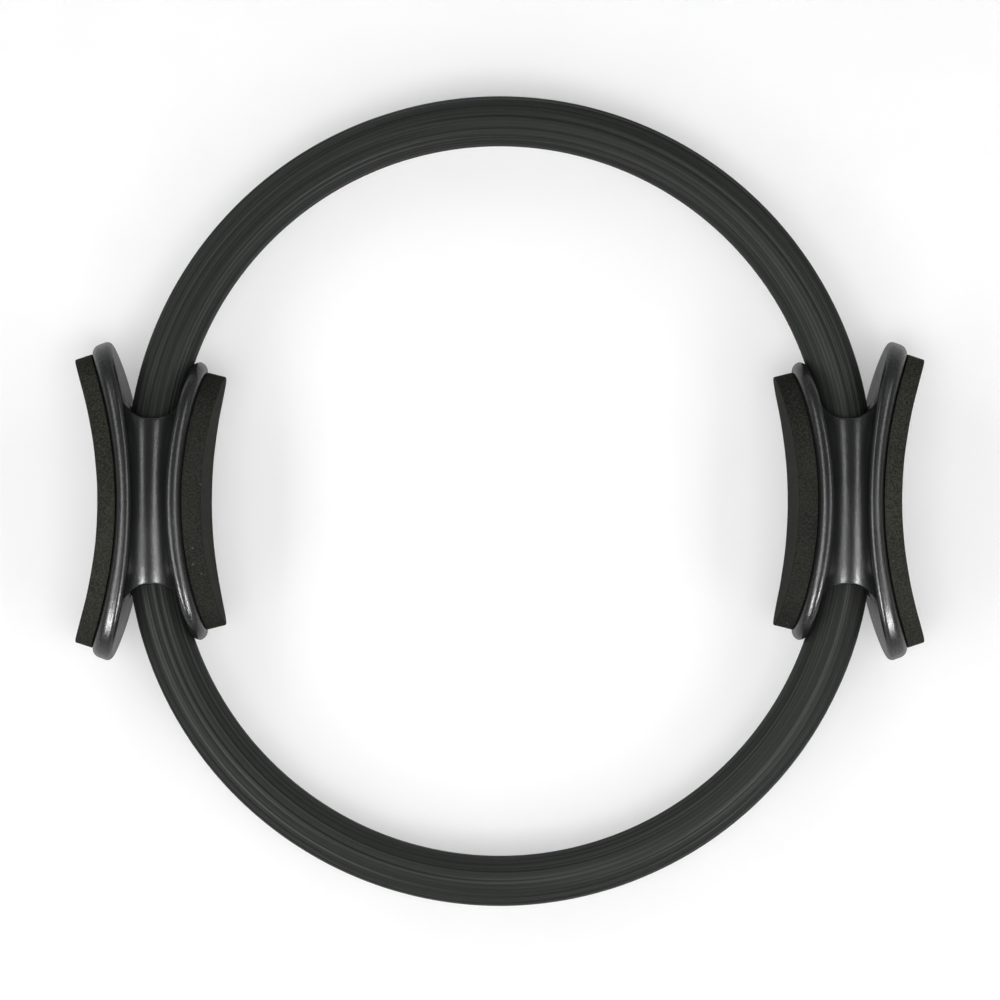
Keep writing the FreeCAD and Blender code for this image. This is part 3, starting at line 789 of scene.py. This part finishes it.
class RING_OT_sleeves(bpy.types.Operator):
    """Makes the ribbed foam sleeves, a quarter of the hoop at a time"""

    bl_idname = "ring.make_sleeves"
    bl_label = "Make Sleeves"

    def execute(self, context):
        settings = context.scene.ring_sleeves
        tree = sleeve_tree()
        material = sleeve_material(settings)
        sweep = math.pi / 2 - SLEEVE_START
        starts = {
            (1, 1): SLEEVE_START,
            (-1, 1): math.pi / 2,
            (-1, -1): math.pi + SLEEVE_START,
            (1, -1): math.pi * 1.5,
        }
        for quarter, (grip, arc, across, up) in QUARTERS.items():
            values = {
                "Arc Radius": ARC_RADIUS,
                "Arc Centre": up * ARC_CENTRE,
                "Start": starts[across, up],
                "Sweep": sweep,
                "Tube Radius": TUBE_RADIUS - settings.rib_depth,
                "Bore Radius": settings.bore,
                "Steps Along": settings.steps_along,
                "Steps Around": settings.steps_around,
                "Rib Depth": settings.rib_depth,
                "Rib Scale": settings.rib_scale,
                "Material": material,
            }
            name = quarter + "_sleeve_foam"
            piece = grow(bpy.data.meshes.new(name + "_source"), name, tree, values)
            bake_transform(piece)
            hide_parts(quarter.split("_")[0] + "_sleeve")
        return {"FINISHED"}


class RING_OT_bands(bpy.types.Operator):
    """Makes the flat springs inside the sleeves"""

    bl_idname = "ring.make_bands"
    bl_label = "Make Bands"

    def execute(self, context):
        settings = context.scene.ring_bands
        tree = band_tree()
        material = band_material(settings)
        angles = [step / settings.steps * math.pi / 2 for step in range(settings.steps + 1)]
        path = [Vector((ARC_RADIUS, BAND_LOW.y))]
        for angle in angles:
            path.append(Vector((ARC_RADIUS * math.cos(angle), ARC_CENTRE + ARC_RADIUS * math.sin(angle))))
        for quarter, (grip, arc, across, up) in QUARTERS.items():
            half = quarter.split("_")[0]
            name = quarter + "_springs"
            curve = bpy.data.curves.new(name + "_path", "CURVE")
            curve.dimensions = "3D"
            spline = curve.splines.new("POLY")
            spline.points.add(len(path) - 1)
            for point, spot in zip(spline.points, path):
                point.co = (across * spot.x, up * spot.y, 0, 1)
            values = {
                "Thickness": settings.thickness,
                "Width": settings.width,
                "Offset": (BAND_GAP + settings.thickness) / 2,
                "Material": material,
            }
            piece = grow(curve, name, tree, values)
            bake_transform(piece)
            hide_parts(half + "_outer_band", half + "_inner_band")
        return {"FINISHED"}


class RING_OT_clamps(bpy.types.Operator):
    """Gives the spacers and screws their materials"""

    bl_idname = "ring.dress_clamps"
    bl_label = "Dress Clamps"

    def execute(self, context):
        settings = context.scene.ring_clamps
        kinds = {"spacer": spacer_material(settings), "screws": screw_material(settings)}
        for side in SIDES:
            for half in ("upper", "lower"):
                for kind, material in kinds.items():
                    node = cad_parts[f"{side}_{half}_{kind}"]
                    node.data.materials.clear()
                    node.data.materials.append(material)
        return {"FINISHED"}


class RING_OT_stage(bpy.types.Operator):
    """Sets up the floor, the lamps and the camera"""

    bl_idname = "ring.set_stage"
    bl_label = "Set Stage"

    def execute(self, context):
        settings = context.scene.ring_stage
        scene = context.scene
        floor_level = HANDLE_LOW.z
        mesh = bpy.data.meshes.new("floor")
        shell = bmesh.new()
        rings = [(settings.floor_reach, 0.0)]
        for step in range(1, FLOOR_BEND_STEPS + 1):
            turn = step / FLOOR_BEND_STEPS * FLOOR_BEND
            reach = settings.floor_reach + FLOOR_BEND_RADIUS * math.sin(turn)
            rings.append((reach, FLOOR_BEND_RADIUS * (1 - math.cos(turn))))
        around = FLOOR_STEPS_AROUND
        turns = [column / around * math.tau for column in range(around)]
        loops = []
        for radius, rise in rings:
            level = floor_level + rise
            spots = [(radius * math.cos(turn), radius * math.sin(turn), level) for turn in turns]
            loops.append([shell.verts.new(spot) for spot in spots])
        shell.faces.new(loops[0])
        for first, second in zip(loops, loops[1:]):
            for column in range(around):
                after = (column + 1) % around
                shell.faces.new((first[column], second[column], second[after], first[after]))
        shell.to_mesh(mesh)
        shell.free()
        for polygon in mesh.polygons:
            polygon.use_smooth = True
        mesh.materials.append(floor_material(settings))
        floor = bpy.data.objects.new("floor", mesh)
        scene.collection.objects.link(floor)

        # Each lamp's place, size and power.
        lamps = {
            "left_strip": ((-0.84, 0.05, 1.02), (2.4, 0.4), settings.strip_power),
            "right_strip": ((0.84, 0.05, 1.02), (2.4, 0.4), settings.strip_power),
            "left_gleam": ((-0.84, -1.09, 1.02), (2.0, 0.4), settings.gleam_power),
            "right_gleam": ((0.84, -1.09, 1.02), (2.0, 0.4), settings.gleam_power),
            "left_back_gleam": ((-0.84, 0.45, 1.02), (1.2, 0.3), settings.back_power),
            "right_back_gleam": ((0.84, 0.45, 1.02), (1.2, 0.3), settings.back_power),
            "key": ((0.0, -0.25, 1.4), (1.0, 0.6), settings.key_power),
        }
        for name, (place, size, power) in lamps.items():
            light = bpy.data.lights.new(name, "AREA")
            light.shape = "RECTANGLE"
            light.size, light.size_y = size
            light.energy = power
            lamp = bpy.data.objects.new(name, light)
            lamp.location = place
            aim = Vector((0, place[1], 0))
            lamp.visible_glossy = name != "key"
            lamp.visible_diffuse = "gleam" not in name
            lamp.rotation_euler = (aim - Vector(place)).to_track_quat("-Z", "Y").to_euler()
            scene.collection.objects.link(lamp)

        world = bpy.data.worlds.new("room")
        world.use_nodes = True
        ground = world.node_tree.nodes["Background"]
        ground.inputs["Color"].default_value = (1, 1, 1, 1)
        ground.inputs["Strength"].default_value = settings.fill
        scene.world = world

        lens = bpy.data.cameras.new("camera")
        lens.lens = settings.lens
        lens.sensor_width = SENSOR_WIDTH
        lens.clip_end = CAMERA_REACH
        camera = bpy.data.objects.new("camera", lens)
        camera.location = settings.camera_place
        scene.collection.objects.link(camera)
        scene.camera = camera
        scene.view_settings.view_transform = "Standard"
        return {"FINISHED"}


class RING_PT_sidebar(bpy.types.Panel):
    """The ring's tools and settings"""

    bl_idname = "RING_PT_sidebar"
    bl_label = "Pilates Ring"
    bl_space_type = "VIEW_3D"
    bl_region_type = "UI"
    bl_category = "Ring"

    def draw(self, context):
        for settings_name, (_settings, operator) in TOOLS.items():
            settings = getattr(context.scene, settings_name)
            column = self.layout.column(align=True)
            column.operator(operator.bl_idname)
            for label in settings.__annotations__:
                column.prop(settings, label)


TOOLS = {
    "ring_handles": (HandleSettings, RING_OT_handles),
    "ring_pads": (PadSettings, RING_OT_pads),
    "ring_sleeves": (SleeveSettings, RING_OT_sleeves),
    "ring_bands": (BandSettings, RING_OT_bands),
    "ring_clamps": (ClampSettings, RING_OT_clamps),
    "ring_stage": (StageSettings, RING_OT_stage),
}


def register():
    """Adds the settings, the operators and the panel."""
    for name, (settings, operator) in TOOLS.items():
        bpy.utils.register_class(settings)
        bpy.utils.register_class(operator)
        setattr(bpy.types.Scene, name, PointerProperty(type=settings))
    bpy.utils.register_class(RING_PT_sidebar)


def unregister():
    """Takes the settings, the operators and the panel away."""
    bpy.utils.unregister_class(RING_PT_sidebar)
    for name, (settings, operator) in TOOLS.items():
        delattr(bpy.types.Scene, name)
        bpy.utils.unregister_class(operator)
        bpy.utils.unregister_class(settings)


def main():
    """Builds the ring and its stage."""
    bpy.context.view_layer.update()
    register()
    bpy.ops.ring.dress_handles()
    bpy.ops.ring.make_pads()
    bpy.ops.ring.make_sleeves()
    bpy.ops.ring.make_bands()
    bpy.ops.ring.dress_clamps()
    bpy.ops.ring.set_stage()


if __name__ == "__main__":
    main()
